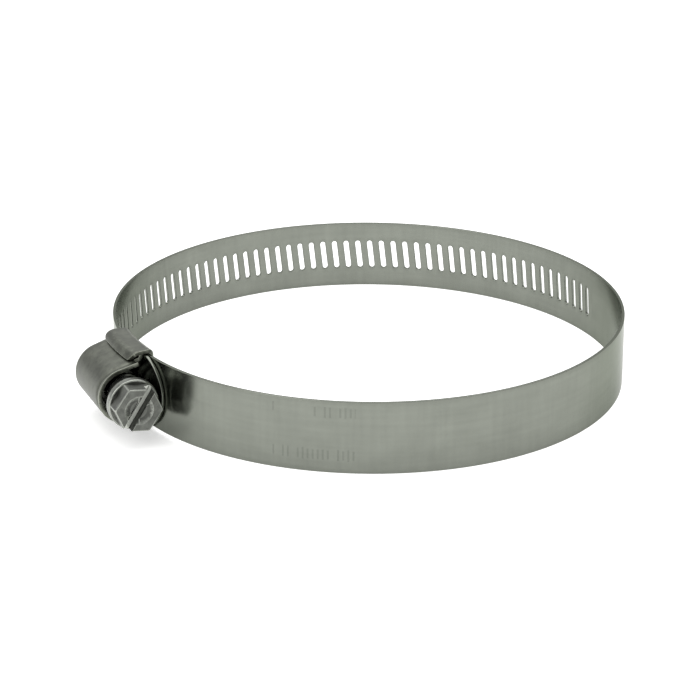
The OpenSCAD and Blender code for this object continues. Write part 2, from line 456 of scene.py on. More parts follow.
def place_group(tree, name, **links):
    """Places a node group in a material, with its inputs linked or set."""
    node = tree.nodes.new("ShaderNodeGroup")
    node.node_tree = bpy.data.node_groups[name]
    for label, value in links.items():
        socket = node.inputs[label]
        if isinstance(value, (int, float)):
            socket.default_value = value
        else:
            tree.links.new(value, socket)
    return node


def attribute_value(tree, name):
    """A float attribute of the mesh."""
    node = tree.nodes.new("ShaderNodeAttribute")
    node.attribute_name = name
    return node.outputs["Fac"]


def mix_colour(tree, factor, first, second, mode="MIX"):
    """A Mix node on colours, each a socket or a colour; gives its result."""
    node = tree.nodes.new("ShaderNodeMix")
    node.data_type = "RGBA"
    node.blend_type = mode
    sockets = [node.inputs[k] for k in (0, 6, 7)]
    for socket, value in zip(sockets, (factor, first, second)):
        if isinstance(value, (int, float)):
            socket.default_value = value
        elif isinstance(value, tuple):
            socket.default_value = (*value, 1.0)
        else:
            tree.links.new(value, socket)
    return node.outputs[2]


def bump_node(tree, height, distance, strength=1.0):
    """A Bump node; gives its normal."""
    node = tree.nodes.new("ShaderNodeBump")
    node.inputs["Distance"].default_value = distance
    node.inputs["Strength"].default_value = strength
    tree.links.new(height, node.inputs["Height"])
    return node.outputs["Normal"]


def tinted(colour, gain):
    """A colour made lighter or darker."""
    return tuple(min(c * gain, 1.0) for c in colour)


def band_material():
    """Satin stainless strip with rolling streaks and brighter sheared edges."""
    colour = tuple(bpy.context.scene.clamp_colours.band)
    made, tree, shader = new_material("band steel")
    uv = tree.nodes.new("ShaderNodeUVMap")
    uv.uv_map = "strip"
    grain = place_group(tree, "Rolled Grain", Vector=uv.outputs["UV"])
    wear = place_group(
        tree, "Edge Wear", Vector=uv.outputs["UV"], Edge=attribute_value(tree, "edge"), Scale=900.0
    )
    tone = range_node(tree, grain.outputs["Tone"], 0.35, 0.65)
    base = mix_colour(tree, tone, tinted(colour, 0.90), tinted(colour, 1.08))
    base = mix_colour(tree, wear.outputs["Mask"], base, tinted(colour, 0.86))
    rough = range_node(tree, grain.outputs["Tone"], 0.3, 0.7, 0.24, 0.17)
    tree.links.new(rough, shader.inputs["Roughness"])
    marks = None
    for row in STAMPED_ROWS:
        place = dict(zip(("Start", "End", "Middle", "Height"), row))
        bars = place_group(tree, "Stamped Bars", Vector=uv.outputs["UV"], **place).outputs["Mask"]
        marks = bars if marks is None else math_node(tree, "MAXIMUM", marks, bars)
    base = mix_colour(tree, math_node(tree, "MULTIPLY", marks, 0.3), base, tinted(colour, 0.55))
    tree.links.new(base, shader.inputs["Base Color"])
    height = math_node(tree, "MULTIPLY_ADD", marks, -6.0, grain.outputs["Height"])
    tree.links.new(bump_node(tree, height, 0.004 * MM, 0.6), shader.inputs["Normal"])
    shader.inputs["Metallic"].default_value = 1.0
    shader.inputs["Specular Tint"].default_value = (0.62, 0.64, 0.60, 1.0)
    return made


def pressed_material(name, colour, scale, roughness, dent):
    """Dull pressed or tumbled steel: mottled, faintly dented, with painted shade in its creases.
    """
    made, tree, shader = new_material(name)
    place = tree.nodes.new("ShaderNodeTexCoord").outputs["Object"]
    mottle = place_group(tree, "Mottle", Vector=place, Scale=scale)
    wear = place_group(
        tree, "Edge Wear", Vector=place, Edge=attribute_value(tree, "edge"), Scale=scale * 4
    )
    tone = range_node(tree, mottle.outputs["Tone"], 0.34, 0.66)
    base = mix_colour(tree, tone, tinted(colour, 0.72), tinted(colour, 1.24))
    base = mix_colour(tree, mottle.outputs["Stain"], base, tinted(colour, 0.72))
    # painted shade: the colour darkens in creases and on the screwdriver slot's sides
    crease_shade = math_node(tree, "MULTIPLY", attribute_value(tree, "cavity"), 0.75)
    base = mix_colour(tree, crease_shade, base, tinted(colour, 0.22))
    # edges made brighter: partly rubbed wear, partly a painted highlight
    base = mix_colour(tree, wear.outputs["Mask"], base, tinted(colour, 2.6))
    # painted highlight on the screwdriver slot's floor: paler and less metallic where the edge
    # mark passes 1
    slot_highlight = range_node(tree, attribute_value(tree, "edge"), 1.1, SLOT_HIGHLIGHT_MARK)
    base = mix_colour(tree, slot_highlight, base, tinted(colour, 4.6))
    tree.links.new(math_node(tree, "MULTIPLY_ADD", slot_highlight, -0.8, 1.0), shader.inputs["Metallic"])
    tree.links.new(base, shader.inputs["Base Color"])
    rubbed = math_node(tree, "MULTIPLY", wear.outputs["Mask"], -0.14)
    rough = range_node(tree, mottle.outputs["Tone"], 0.3, 0.7, roughness - 0.05, roughness + 0.06)
    tree.links.new(math_node(tree, "ADD", rough, rubbed), shader.inputs["Roughness"])
    tree.links.new(bump_node(tree, mottle.outputs["Height"], dent), shader.inputs["Normal"])
    return made


def floor_material():
    """Plain pale floor."""
    colour = tuple(bpy.context.scene.clamp_colours.floor)
    made, _, shader = new_material("floor")
    shader.inputs["Base Color"].default_value = (*colour, 1.0)
    shader.inputs["Roughness"].default_value = 0.9
    shader.inputs["Specular IOR Level"].default_value = 0.0
    shader.inputs["Emission Color"].default_value = (1.0, 1.0, 1.0, 1.0)
    shader.inputs["Emission Strength"].default_value = 0.45
    return made


def material(name):
    """The named material, made the first time it is asked for."""
    if name in bpy.data.materials:
        return bpy.data.materials[name]
    for group, make in (
        ("Rolled Grain", rolled_grain_group),
        ("Edge Wear", edge_wear_and_highlight_group),
        ("Mottle", mottle_group),
        ("Stamped Bars", stamped_bars_group),
    ):
        if group not in bpy.data.node_groups:
            make()
    colours = bpy.context.scene.clamp_colours
    if name == "band steel":
        return band_material()
    if name == "housing steel":
        return pressed_material(name, tuple(colours.housing), 420.0, 0.42, 0.05 * MM)
    if name == "screw steel":
        return pressed_material(name, tuple(colours.screw), 620.0, 0.34, 0.03 * MM)
    return floor_material()


def finish_piece(made, surface):
    """Gives a finished mesh its material."""
    made.data.materials.clear()
    made.data.materials.append(material(surface))
    return made


# ---------------------------------------------------------------- band


def wrap(points, radius):
    """Bends flat points (along, across, out) round the Z axis at a radius."""
    angle = points[:, 0] / radius
    out = radius + points[:, 2]
    return np.stack([out * np.cos(angle), out * np.sin(angle), points[:, 1]], 1)


# shares of the edge's round: (inset, drop) from the wall up to the land
ROUND_STEPS = ((0.0, 1.0), (0.3, 0.3), (1.0, 0.0))
SIDE_ROWS = 10
END_COLUMNS = 8


def loop_faces(first, second, count, flip):
    """Quads between two closed loops of vertices."""
    faces = []
    for k in range(count):
        n = (k + 1) % count
        quad = (first + k, first + n, second + n, second + k)
        faces.append(quad[::-1] if flip else quad)
    return faces


def slot_outline(length, width, lean, grow):
    """Points round a slot with round ends: right side, top end, left side, bottom end."""
    r = width / 2 + grow
    flat = (length - width) / 2
    side = np.linspace(-flat, flat, SIDE_ROWS + 1)[:-1]
    turn = np.linspace(0, math.pi, END_COLUMNS + 1)[:-1]
    right = np.stack([np.full(SIDE_ROWS, r), side], 1)
    top = np.stack([r * np.cos(turn), flat + r * np.sin(turn)], 1)
    points = np.concatenate([right, top, -right, -top])
    c, s = math.cos(lean), math.sin(lean)
    return points @ np.array([[c, s], [-s, c]])


def cell_outline(step, half):
    """Points round a cell's flat face, in the same order as those round its slot."""
    rows = np.linspace(-half, half, SIDE_ROWS + 1)[:-1]
    columns = np.linspace(step / 2, -step / 2, END_COLUMNS + 1)[:-1]
    right = np.stack([np.full(SIDE_ROWS, step / 2), rows], 1)
    top = np.stack([columns, np.full(END_COLUMNS, half)], 1)
    return np.concatenate([right, top, -right, -top])


def rim_profile(sizes):
    """(inset, out) across the strip's sheared edge, rounded on both corners."""
    t, e = sizes.band_thickness / 2, sizes.edge_round
    half = [(inset * e, t - drop * e) for inset, drop in reversed(ROUND_STEPS)]
    return half + [(inset, -out) for inset, out in reversed(half)]


def rim_faces(step, sizes, count=END_COLUMNS):
    """The strip's two long edges over one cell."""
    columns = np.linspace(-step / 2, step / 2, count + 1)
    profile = [(HALF_WIDTH - inset, out) for inset, out in rim_profile(sizes)]
    points, faces = [], []
    for side in (1, -1):
        start = len(points)
        points += [(a, side * z, w) for z, w in profile for a in columns]
        n = count + 1
        for row in range(len(profile) - 1):
            for k in range(count):
                a = start + row * n + k
                quad = (a, a + n, a + n + 1, a + 1)
                faces.append(quad if side < 0 else quad[::-1])
    return points, faces


def slot_cell(step, sizes):
    """One pitch of slotted strip, flat: points (along, across, out) and faces."""
    t, e = sizes.band_thickness / 2, sizes.edge_round
    lean = -sizes.slot_lean
    points, faces = [], []
    boundary = cell_outline(step, HALF_WIDTH - e)
    count = len(boundary)
    for side in (1, -1):
        start = len(points)
        wall = slot_outline(sizes.slot_length, sizes.slot_width, lean, 0.0)
        loops = [(wall, 0.0)]
        for inset, drop in ROUND_STEPS:
            edge = slot_outline(sizes.slot_length, sizes.slot_width, lean, inset * e)
            loops.append((edge, t - drop * e))
        land = loops[-1][0]
        for share in (0.35, 0.7, 1.0):
            loops.append((land + (boundary - land) * share, t))
        for outline, out in loops:
            points += [(a, z, side * out) for a, z in outline]
        for k in range(len(loops) - 1):
            faces += loop_faces(start + k * count, start + (k + 1) * count, count, side > 0)
    rim_points, rims = rim_faces(step, sizes)
    base = len(points)
    points += rim_points
    faces += [tuple(base + i for i in f) for f in rims]
    return np.array(points), faces


def plain_cell(step, sizes, columns):
    """The two broad sides of a length of plain strip, flat."""
    t, e = sizes.band_thickness / 2, sizes.edge_round
    along = np.linspace(-step / 2, step / 2, columns + 1)
    across = np.linspace(-(HALF_WIDTH - e), HALF_WIDTH - e, SIDE_ROWS + 1)
    points, faces = [], []
    for side in (1, -1):
        start = len(points)
        points += [(a, z, side * t) for z in across for a in along]
        for row in range(SIDE_ROWS):
            for k in range(columns):
                a = start + row * (columns + 1) + k
                quad = (a, a + 1, a + columns + 2, a + columns + 1)
                faces.append(quad if side > 0 else quad[::-1])
    return np.array(points), faces


def cell_object(name, cell, radius):
    """A hidden source object for one cell, bent round the Z axis."""
    points, faces = cell
    made = object_from(name, wrap(points, radius), faces)
    made.hide_render = True
    return made


def strip_tree():
    """Geometry Nodes that set a cell of strip again and again round a circle."""
    tree = bpy.data.node_groups.new("Strip Of Cells", "GeometryNodeTree")
    sockets = {}
    for label, kind in (
        ("Cell", "NodeSocketObject"),
        ("Count", "NodeSocketInt"),
        ("Step", "NodeSocketFloat"),
        ("Start", "NodeSocketFloat"),
        ("Centre", "NodeSocketVector"),
        ("Merge", "NodeSocketFloat"),
        ("Surface", "NodeSocketMaterial"),
    ):
        sockets[label] = tree.interface.new_socket(label, in_out="INPUT", socket_type=kind)
    tree.interface.new_socket("Geometry", in_out="OUTPUT", socket_type="NodeSocketGeometry")
    nodes, link = tree.nodes, tree.links.new
    given, out = nodes.new("NodeGroupInput"), nodes.new("NodeGroupOutput")
    points = nodes.new("GeometryNodePoints")
    link(given.outputs["Count"], points.inputs["Count"])
    link(given.outputs["Centre"], points.inputs["Position"])
    index = nodes.new("GeometryNodeInputIndex")
    half = math_node(tree, "ADD", index.outputs[0], 0.5)
    turn = math_node(tree, "MULTIPLY_ADD", half, given.outputs["Step"], given.outputs["Start"])
    spin = nodes.new("ShaderNodeCombineXYZ")
    link(turn, spin.inputs["Z"])
    source = nodes.new("GeometryNodeObjectInfo")
    link(given.outputs["Cell"], source.inputs["Object"])
    place = nodes.new("GeometryNodeInstanceOnPoints")
    link(points.outputs["Points"], place.inputs["Points"])
    link(source.outputs["Geometry"], place.inputs["Instance"])
    link(spin.outputs["Vector"], place.inputs["Rotation"])
    real = nodes.new("GeometryNodeRealizeInstances")
    link(place.outputs["Instances"], real.inputs["Geometry"])
    merge = nodes.new("GeometryNodeMergeByDistance")
    link(real.outputs["Geometry"], merge.inputs["Geometry"])
    link(given.outputs["Merge"], merge.inputs["Distance"])
    surface = nodes.new("GeometryNodeSetMaterial")
    link(merge.outputs["Geometry"], surface.inputs["Geometry"])
    link(given.outputs["Surface"], surface.inputs["Material"])
    link(surface.outputs["Geometry"], out.inputs["Geometry"])
    return tree


def strip_of_cells(name, cell, count, start, step, centre_x):
    """A plain mesh of cells in a row, made by the strip's node tree."""
    tree = bpy.data.node_groups.get("Strip Of Cells") or strip_tree()
    made = object_from(name, [], [])
    modifier = made.modifiers.new("strip", "NODES")
    modifier.node_group = tree
    values = {
        "Cell": cell,
        "Count": count,
        "Step": step,
        "Start": start,
        "Centre": (centre_x, 0.0, 0.0),
        "Merge": WELD,
        "Surface": material("band steel"),
    }
    for item in tree.interface.items_tree:
        if item.in_out == "INPUT":
            modifier[item.identifier] = values[item.name]
    return bake_modifiers(made)


def join(made, others):
    """Adds other objects' meshes to the first one, and removes those objects."""
    work = bmesh.new()
    work.from_mesh(made.data)
    for other in others:
        work.from_mesh(other.data)
        bpy.data.objects.remove(other)
    work.to_mesh(made.data)
    work.free()
    return made


def bend_angle(bend):
    """The angle of a bend about the circle that its stretch follows."""
    centre = SLOTTED_CENTRE if bend in SLOTTED_BENDS else 0.0
    x, y, _ = bend["pos_m"]
    return math.atan2(y, x - centre) % (2 * math.pi)


def on_circle(angle, radius=PLAIN_RADIUS, centre_x=0.0):
    """A point on a circle in the ring's plane."""
    return (centre_x + radius * math.cos(angle), radius * math.sin(angle), 0.0)


def on_slotted(angle):
    """A point on the slotted circle."""
    return on_circle(angle, SLOTTED_RADIUS, SLOTTED_CENTRE)


def boundary_left(made):
    """How many edges of a mesh have only one face."""
    work = bmesh.new()
    work.from_mesh(made.data)
    open_edges = sum(1 for e in work.edges if len(e.link_faces) != 2)
    work.free()
    return open_edges


def finish_strip(made, first, second=None, start=None, end=None):
    """Closes a strip of band, marks its edges, and hangs it on its body; a strip between two
    bodies is left in place, unhung.
    """
    clean(made, cap=True)
    mark_edges(made)
    map_strip(made)
    weigh_normals(made)
    straighten_lands(made, slotted=not made.name.startswith("strip_plain"))
    if boundary_left(made):
        raise RuntimeError(f"{made.name} isn't closed")
    finish_piece(made, "band steel")
    if second is None:
        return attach(made, first)
    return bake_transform(made)


def weigh_normals(made):
    """Shades flat lands flat and small rounds round."""
    modifier = made.modifiers.new("normals", "WEIGHTED_NORMAL")
    modifier.keep_sharp = True
    modifier.weight = 80
    return bake_modifiers(made)


def straighten_lands(made, slotted):
    """Sets the normals of the strip's two broad sides square to the circle it follows."""
    mesh = made.data
    places = np.zeros(len(mesh.vertices) * 3)
    mesh.vertices.foreach_get("co", places)
    out = places.reshape(-1, 3) * np.array([1, 1, 0])
    out[:, 0] -= np.where((out[:, 1] > 0) & slotted, SLOTTED_CENTRE, 0.0)
    out /= np.linalg.norm(out, axis=1)[:, None]
    normals = np.zeros(len(mesh.loops) * 3, np.float32)
    mesh.corner_normals.foreach_get("vector", normals)
    normals = normals.reshape(-1, 3)
    for face in mesh.polygons:
        side = np.array(face.normal) @ out[face.vertices[0]]
        if abs(side) > 0.99:
            for corner, vertex in zip(face.loop_indices, face.vertices):
                normals[corner] = out[vertex] * np.sign(side)
    mesh.normals_split_custom_set(normals.tolist())


def plain_run(name, start, end, columns):
    """Plain strip from one angle to another about the origin, flat ends left open."""
    sizes = bpy.context.scene.clamp_sizes
    step = (end - start) * PLAIN_RADIUS
    points, faces = plain_cell(step, sizes, columns=columns)
    rims = rim_faces(step, sizes, columns)
    faces = faces + [tuple(len(points) + i for i in f) for f in rims[1]]
    points = np.concatenate([points, np.array(rims[0])])
    points[:, 0] += (start + end) / 2 * PLAIN_RADIUS
    return object_from(name, wrap(points, PLAIN_RADIUS), faces)


def slotted_run(name, start, count):
    """Slotted strip of that many pitches from an angle about the slotted circle's centre."""
    sizes = bpy.context.scene.clamp_sizes
    source = cell_object("slot cell", slot_cell(PITCH * SLOTTED_RADIUS, sizes), SLOTTED_RADIUS)
    made = strip_of_cells(name, source, count, start, PITCH, SLOTTED_CENTRE)
    bpy.data.objects.remove(source)
    return made


def in_slot(points, centre, sizes, margin):
    """Which flat points lie within a slot grown by a margin."""
    lean = -sizes.slot_lean
    c, s = math.cos(lean), math.sin(lean)
    local = (points - np.array([centre, 0.0])) @ np.array([[c, -s], [s, c]])
    flat = (sizes.slot_length - sizes.slot_width) / 2
    along = np.abs(local[:, 1]) - flat
    reach = np.hypot(local[:, 0], np.maximum(along, 0.0))
    return reach < sizes.slot_width / 2 + margin


NOSE_STEPS = 48
NOSE_GRID = 0.62 * MM


def nose_outline(length, radius, inset):
    """Half round end of the strip, from the lower edge at 0 to the upper edge at 0."""
    r = radius - inset
    centre = length - radius
    rise = math.asin(min((HALF_WIDTH - inset) / r, 1.0))
    turn = np.linspace(-rise, rise, NOSE_STEPS + 1)
    arc = np.stack([centre + r * np.cos(turn), r * np.sin(turn)], 1)
    straight = np.linspace(0.0, arc[0, 0], 14)[:-1]
    low = np.stack([straight, np.full(len(straight), -(HALF_WIDTH - inset))], 1)
    return np.concatenate([low, arc, low[::-1] * np.array([1, -1])])


def nose_cell(length, radius, slots, sizes):
    """The strip's free end, flat: slots at those distances along it, then a half round blank."""
    t, e = sizes.band_thickness / 2, sizes.edge_round
    land = nose_outline(length, radius, e)
    rows = np.linspace(HALF_WIDTH - e, -(HALF_WIDTH - e), SIDE_ROWS + 1)[1:-1]
    back = np.stack([np.zeros(len(rows)), rows], 1)
    loops = [np.concatenate([land, back])]
    walls = []
    for centre in slots:
        shift = np.array([centre, 0.0])
        lean = -sizes.slot_lean
        rings = [(slot_outline(sizes.slot_length, sizes.slot_width, lean, 0.0) + shift, 0.0)]
        for inset, drop in ROUND_STEPS:
            ring = slot_outline(sizes.slot_length, sizes.slot_width, lean, inset * e) + shift
            rings.append((ring, t - drop * e))
        walls.append(rings)
        loops.append(rings[-1][0])
    flat_points, edges = [], []
    for loop in loops:
        first = len(flat_points)
        flat_points += [Vector(p) for p in loop]
        edges += [(first + k, first + (k + 1) % len(loop)) for k in range(len(loop))]
    along, across = np.meshgrid(
        np.arange(0.4 * MM, length, NOSE_GRID),
        np.arange(-HALF_WIDTH + 0.5 * MM, HALF_WIDTH, NOSE_GRID),
        indexing="ij",
    )
    grid = np.stack([along.ravel(), across.ravel()], 1)
    clear = 3.5 * e
    past_centre = np.maximum(grid[:, 0] - (length - radius), 0)
    keep = np.hypot(past_centre, grid[:, 1]) < radius - clear
    keep &= np.abs(grid[:, 1]) < HALF_WIDTH - clear
    for centre in slots:
        keep &= ~in_slot(grid, centre, sizes, clear)
    flat_points += [Vector(p) for p in grid[keep]]
    out = delaunay_2d_cdt(flat_points, edges, [], 1, 1e-7)
    made, triangles = np.array([tuple(v) for v in out[0]]), np.array(out[2])
    middle = made[triangles].mean(axis=1)
    solid = np.ones(len(triangles), bool)
    for centre in slots:
        solid &= ~in_slot(middle, centre, sizes, e * 0.8)
    points, faces = [], []
    for side in (1, -1):
        base = len(points)
        points += [(a, z, side * t) for a, z in made]
        for tri in triangles[solid]:
            a, b, c = made[tri]
            turned = (b[0] - a[0]) * (c[1] - a[1]) - (b[1] - a[1]) * (c[0] - a[0]) > 0
            face = [base + int(i) for i in tri]
            faces.append(face if turned == (side > 0) else face[::-1])
        for rings in walls:
            base = len(points)
            count = len(rings[0][0])
            for ring, out_at in rings:
                points += [(a, z, side * out_at) for a, z in ring]
            for k in range(len(rings) - 1):
                faces += loop_faces(base + k * count, base + (k + 1) * count, count, side > 0)
    profile = rim_profile(sizes)
    base = len(points)
    for inset, out_at in profile:
        points += [(a, z, out_at) for a, z in nose_outline(length, radius, inset)]
    count = len(land)
    for row in range(len(profile) - 1):
        for k in range(count - 1):
            a = base + row * count + k
            faces.append((a, a + count, a + count + 1, a + 1))
    return np.array(points), faces


def build_band():
    """The whole strip: one piece from the middle of a stretch to the middle of the next."""
    half_cells = CELLS_PER_LINK // 2
    plain_half = (bend_angle(PLAIN_BENDS[1]) - bend_angle(PLAIN_BENDS[0])) / 2
    slotted_half = half_cells * PITCH
    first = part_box("band_anchor")
    anchor_start = math.pi - math.asin(first[1].y / PLAIN_RADIUS)
    made = []
    for number, bend in enumerate(PLAIN_BENDS):
        angle = bend_angle(bend)
        start, end = angle - plain_half, angle + plain_half
        name = f"strip_plain_{number + 1}"
        ends = (on_circle(start), on_circle(end))
        if number == 0:
            start = anchor_start
        run = plain_run(name, start, end, columns=max(64, int((end - start) / plain_half * 32)))
        parent, child = bend["parent"], bend["child"]
        made.append(finish_strip(run, parent, child, *ends))
        replaced = "band_anchor" if number == 0 else f"band_plain_{number}"
        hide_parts(replaced)
    meet = SLOTTED_BENDS[0]
    last = bend_angle(PLAIN_BENDS[-1]) + plain_half
    run = plain_run("strip_meeting", last, 2 * math.pi, columns=40)
    turn = bend_angle(meet)
    more = plain_run("meeting_end", 0.0, turn * SLOTTED_RADIUS / PLAIN_RADIUS, columns=4)
    bow_onto_slotted(more)
    join(run, [more, slotted_run("slotted_part", turn, half_cells)])
    ends = (on_circle(last), on_slotted(turn + slotted_half))
    made.append(finish_strip(run, meet["parent"], meet["child"], *ends))
    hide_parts(f"band_plain_{len(PLAIN_BENDS)}")
    for number, bend in enumerate(SLOTTED_BENDS[1:]):
        angle = bend_angle(bend)
        start, end = angle - slotted_half, angle + slotted_half
        run = slotted_run(f"strip_slotted_{number + 1}", start, CELLS_PER_LINK)
        ends = (on_slotted(start), on_slotted(end))
        made.append(finish_strip(run, bend["parent"], bend["child"], *ends))
        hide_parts(f"band_slotted_{number + 1}")
    count = len(SLOTTED_BENDS)
    start = bend_angle(SLOTTED_BENDS[-1]) + slotted_half
    run = slotted_run(f"strip_slotted_{count}", start, half_cells)
    made.append(finish_strip(run, SLOTTED_BENDS[-1]["child"]))
    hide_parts(f"band_slotted_{count}")
    return made


def bow_onto_slotted(made):
    """Moves a short plain run from the origin's circle onto the slotted circle beside it."""
    for v in made.data.vertices:
        out = math.hypot(v.co.x, v.co.y) - PLAIN_RADIUS
        angle = math.atan2(v.co.y, v.co.x) * PLAIN_RADIUS / SLOTTED_RADIUS
        v.co.x = SLOTTED_CENTRE + (SLOTTED_RADIUS + out) * math.cos(angle)
        v.co.y = (SLOTTED_RADIUS + out) * math.sin(angle)


# slots in the nose piece, slots past the housing's middle, and how much rounder the nose is
NOSE_CELLS = 2
PAST_MIDDLE = 4.5
NOSE_EXTRA = 0.25 * MM


def build_tail():
    """The free end of the strip, with its round nose."""
    sizes = bpy.context.scene.clamp_sizes
    start = bend_angle(SLOTTED_BENDS[-1]) + CELLS_PER_LINK * PITCH
    reach = -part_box("band_tail")[0].y
    tip = math.pi + math.asin(reach / SLOTTED_RADIUS)
    cells = round((math.pi - start) / PITCH + PAST_MIDDLE)
    run = slotted_run("strip_tail", start, cells - NOSE_CELLS)
    nose_start = start + (cells - NOSE_CELLS) * PITCH
    step = PITCH * SLOTTED_RADIUS
    length = (tip - nose_start) * SLOTTED_RADIUS
    slots = [(k + 0.5) * step for k in range(NOSE_CELLS)]
    points, faces = nose_cell(length, HALF_WIDTH + NOSE_EXTRA, slots, sizes)
    points[:, 0] += nose_start * SLOTTED_RADIUS
    nose = object_from("nose", wrap(points, SLOTTED_RADIUS), faces)
    nose.data.transform(Matrix.Translation((SLOTTED_CENTRE, 0, 0)))
    join(run, [nose])
    finish_strip(run, "tail")
    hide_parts("band_tail")
    return [run]


# ---------------------------------------------------------------- sheet pieces


def sheet_object(name, points, faces, thickness, edge_round):
    """A sheet round a middle surface, with its edges rounded."""
    made = object_from(name, points, faces)
    solid = made.modifiers.new("sheet", "SOLIDIFY")
    solid.thickness = thickness
    solid.offset = 0.0
    solid.use_even_offset = True
    solid.use_quality_normals = True
    bevel = made.modifiers.new("round", "BEVEL")
    bevel.width = edge_round
    bevel.segments = 3
    bevel.limit_method = "ANGLE"
    bevel.angle_limit = math.radians(50)
    bake_modifiers(made)
    clean(made, merge=FINE_WELD)
    return made


def finish_pressed(made, surface, body, node):
    """Marks a pressed or turned piece's edges, and hangs it on its body."""
    mark_edges(made, sharp_too=True)
    weigh_normals(made)
    if boundary_left(made):
        raise RuntimeError(f"{made.name} isn't closed")
    finish_piece(made, surface)
    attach(made, body)
    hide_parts(node)
    return [made]


def arc_points(centre, radius, from_angle, to_angle, steps):
    """Points on an arc in a plane, both ends included."""
    turn = np.linspace(from_angle, to_angle, steps + 1)
    return np.stack([centre[0] + radius * np.cos(turn), centre[1] + radius * np.sin(turn)], 1)


def ramp(value):
    """A value held between 0 and 1."""
    return min(max(value, 0.0), 1.0)


def spread(points, count, cut_back):
    """An open line with that many even steps, its far end cut back by a length."""
    lengths = np.hypot(*np.diff(points, axis=0).T)
    at = np.concatenate([[0.0], np.cumsum(lengths)])
    places = np.linspace(0.0, at[-1] - cut_back, count + 1)
    return np.stack([np.interp(places, at, points[:, k]) for k in (0, 1)], 1)


WALL_STEPS = 22
ROOF_STEPS = 24
FOOT_STEPS = 2
KNEE = np.linspace(0.0, 1.0, 7)
# the feet, towards the screw's back and towards its head
FOOT_BACK, FOOT_FRONT = 4.2 * MM, 8.8 * MM
# where the hood's flared side meets its foot: out from the foot, and across the screw
FLARE, HEEL = 0.15 * MM, 6.35 * MM
KNEE_ROUND = 0.5 * MM
FOOT_GAP, HOUSING_ROUND = 0.12 * MM, 0.33 * MM
# points left out at each side of a section that has no feet
FOOT_POINTS = FOOT_STEPS + len(KNEE)
SECTION_CUT = {"back": FOOT_POINTS + 4, "feet": 0, "front": FOOT_POINTS + 2}
# how far the hood's back end closes in, and the groove behind its front bead
DOME = 1.25 * MM
BEAD, GROOVE, GROOVE_WIDTH, GROOVE_BACK = 0.42 * MM, 0.16 * MM, 0.42 * MM, 0.95 * MM


def housing_section(flange_out, barrel_out, radius, foot_half):
    """The housing's middle line across the screw, as (out, z) from one foot to the other.

    The hood's sides run straight from the roof, flare towards the band, and turn into the feet.
    """
    heel = np.array([flange_out + FLARE, HEEL])
    away = math.hypot(barrel_out - heel[0], HEEL)
    toward = math.atan2(HEEL, heel[0] - barrel_out)
    touch = toward - math.acos(min(radius / away, 1.0))
    roof = arc_points((barrel_out, 0.0), radius, touch, 0.0, ROOF_STEPS)
    lean = (roof[0] - heel) / np.linalg.norm(roof[0] - heel)
    start = heel + lean * KNEE_ROUND
    wall = np.linspace(start, roof[0], WALL_STEPS)[:-1]
    end = np.array([flange_out, HEEL + 1.1 * KNEE_ROUND])
    knee = np.array([flange_out, HEEL])
    turn = [(1 - t) ** 2 * end + 2 * t * (1 - t) * knee + t**2 * start for t in KNEE]
    foot = np.linspace([flange_out, foot_half], end, FOOT_STEPS + 1)[:-1]
    half = np.concatenate([foot, turn, wall[1:], roof])
    return np.concatenate([half, half[-2::-1] * np.array([1, -1])])


def housing_stations(back, front, thick):
    """(distance towards the head, how far the hood draws in, kind) for each section."""
    stations = []
    for turn in np.linspace(math.radians(20), math.pi / 2, 8):
        s = -back + thick / 2 + DOME * (1 - math.cos(turn))
        if s < -FOOT_BACK - 0.2 * MM:
            stations.append((s, DOME * (1 - math.sin(turn)), "back"))
    stations += [(s, 0.0, "feet") for s in np.linspace(-FOOT_BACK, FOOT_FRONT, 45)]
    rim = front - BEAD
    for s in np.linspace(FOOT_FRONT, rim, 15)[1:]:
        groove = math.exp(-(((s - rim + GROOVE_BACK) / GROOVE_WIDTH) ** 2))
        stations.append((s, GROOVE * groove, "front"))
    return stations


def build_housing():
    """The pressed housing: two feet on the band and a round hood over the worm."""
    sizes = bpy.context.scene.clamp_sizes
    low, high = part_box("housing")
    thick = sizes.sheet_thickness
    radius = sizes.barrel_radius - thick / 2
    barrel_out = SLOTTED_CENTRE - SCREW_X
    flange_radius = SLOTTED_RADIUS + (sizes.band_thickness + thick) / 2 + FOOT_GAP
    stations = housing_stations(high.y, -low.y, thick)
    points, faces = [], []
    for s, shrink, _ in stations:
        flange_out = math.sqrt(flange_radius**2 - s**2)
        section = housing_section(flange_out, barrel_out, radius, high.z)
        if shrink:
            inward = np.array([barrel_out, 0.0]) - section
            inward /= np.linalg.norm(inward, axis=1)[:, None]
            section = section + inward * shrink
        points += [(SLOTTED_CENTRE - out, -s, z) for out, z in section]
    count = len(section)
    for j, (first, second) in enumerate(zip(stations, stations[1:])):
        lowest = max(SECTION_CUT[first[2]], SECTION_CUT[second[2]])
        for k in range(lowest, count - 1 - lowest):
            a = j * count + k
            faces.append((a, a + 1, a + 1 + count, a + count))
    used = sorted({i for f in faces for i in f})
    place = {old: new for new, old in enumerate(used)}
    points = [points[i] for i in used]
    faces = [tuple(place[i] for i in f) for f in faces]
    made = sheet_object("clamp_housing", points, faces, thick, HOUSING_ROUND)
    return finish_pressed(made, "housing steel", "base", "housing")


# the saddle's plate and lips, from the ring's axis
SADDLE_INNER, SADDLE_OUTER = 49.42 * MM, 53.22 * MM
SADDLE_GAP = 0.03 * MM
# its lower corner, and the fold that rolls its lip over the housing's foot
CORNER, FOLD, FOLD_AT, FOLD_TURN = 0.62 * MM, 1.7 * MM, 52.55 * MM, math.radians(62)
LIP_END, SADDLE_ROUND = 0.5 * MM, 0.2 * MM
SADDLE_STEPS = 56
# how much of the lip is cut away at its front and back ends, and over what length
FRONT_CUT, FRONT_RUN, BACK_CUT, BACK_RUN = 1.5 * MM, 1.0 * MM, 0.6 * MM, 1.1 * MM
# the two windows under the lugs, pressed into the plate's inner side
WINDOW_Y, WINDOW_Z, WINDOW_AT, WINDOW_DEPTH = 1.5 * MM, 0.85 * MM, 4.43 * MM, 0.3 * MM


